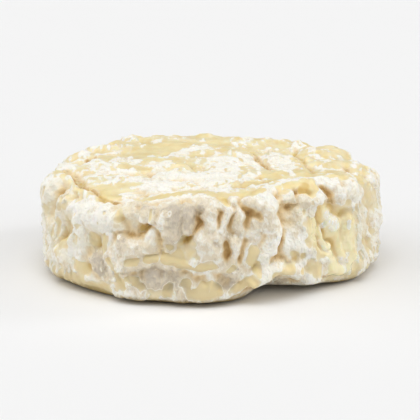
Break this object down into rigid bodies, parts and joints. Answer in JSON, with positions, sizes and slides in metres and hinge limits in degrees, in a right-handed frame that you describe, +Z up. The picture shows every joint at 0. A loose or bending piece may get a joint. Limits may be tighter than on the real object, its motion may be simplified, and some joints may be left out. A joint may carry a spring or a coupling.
{
  "type": "whole soft-ripened cheese wheel",
  "caption": "Small round flat wheel of soft cheese, uncut, with a lumpy creased rind, a raised lip at the left of the top and a base edge lifted at the front right.",
  "frame": {"origin": "middle of the flat underside, on the table", "axes": "+Z up through the wheel; -Y is the front, where the shelf and the upright crevices are; +X is the end with the bare smooth patch beside it"},
  "size_m": [0.1134, 0.1146, 0.0356],
  "materials": {
    "rind": "creamy yellow washed rind under a patchy matt white mould bloom, waxy and slightly glossy where the bloom is worn off"
  },
  "bodies": {
    "root": {"cheese_wheel": "rind"}
  },
  "joints": []
}
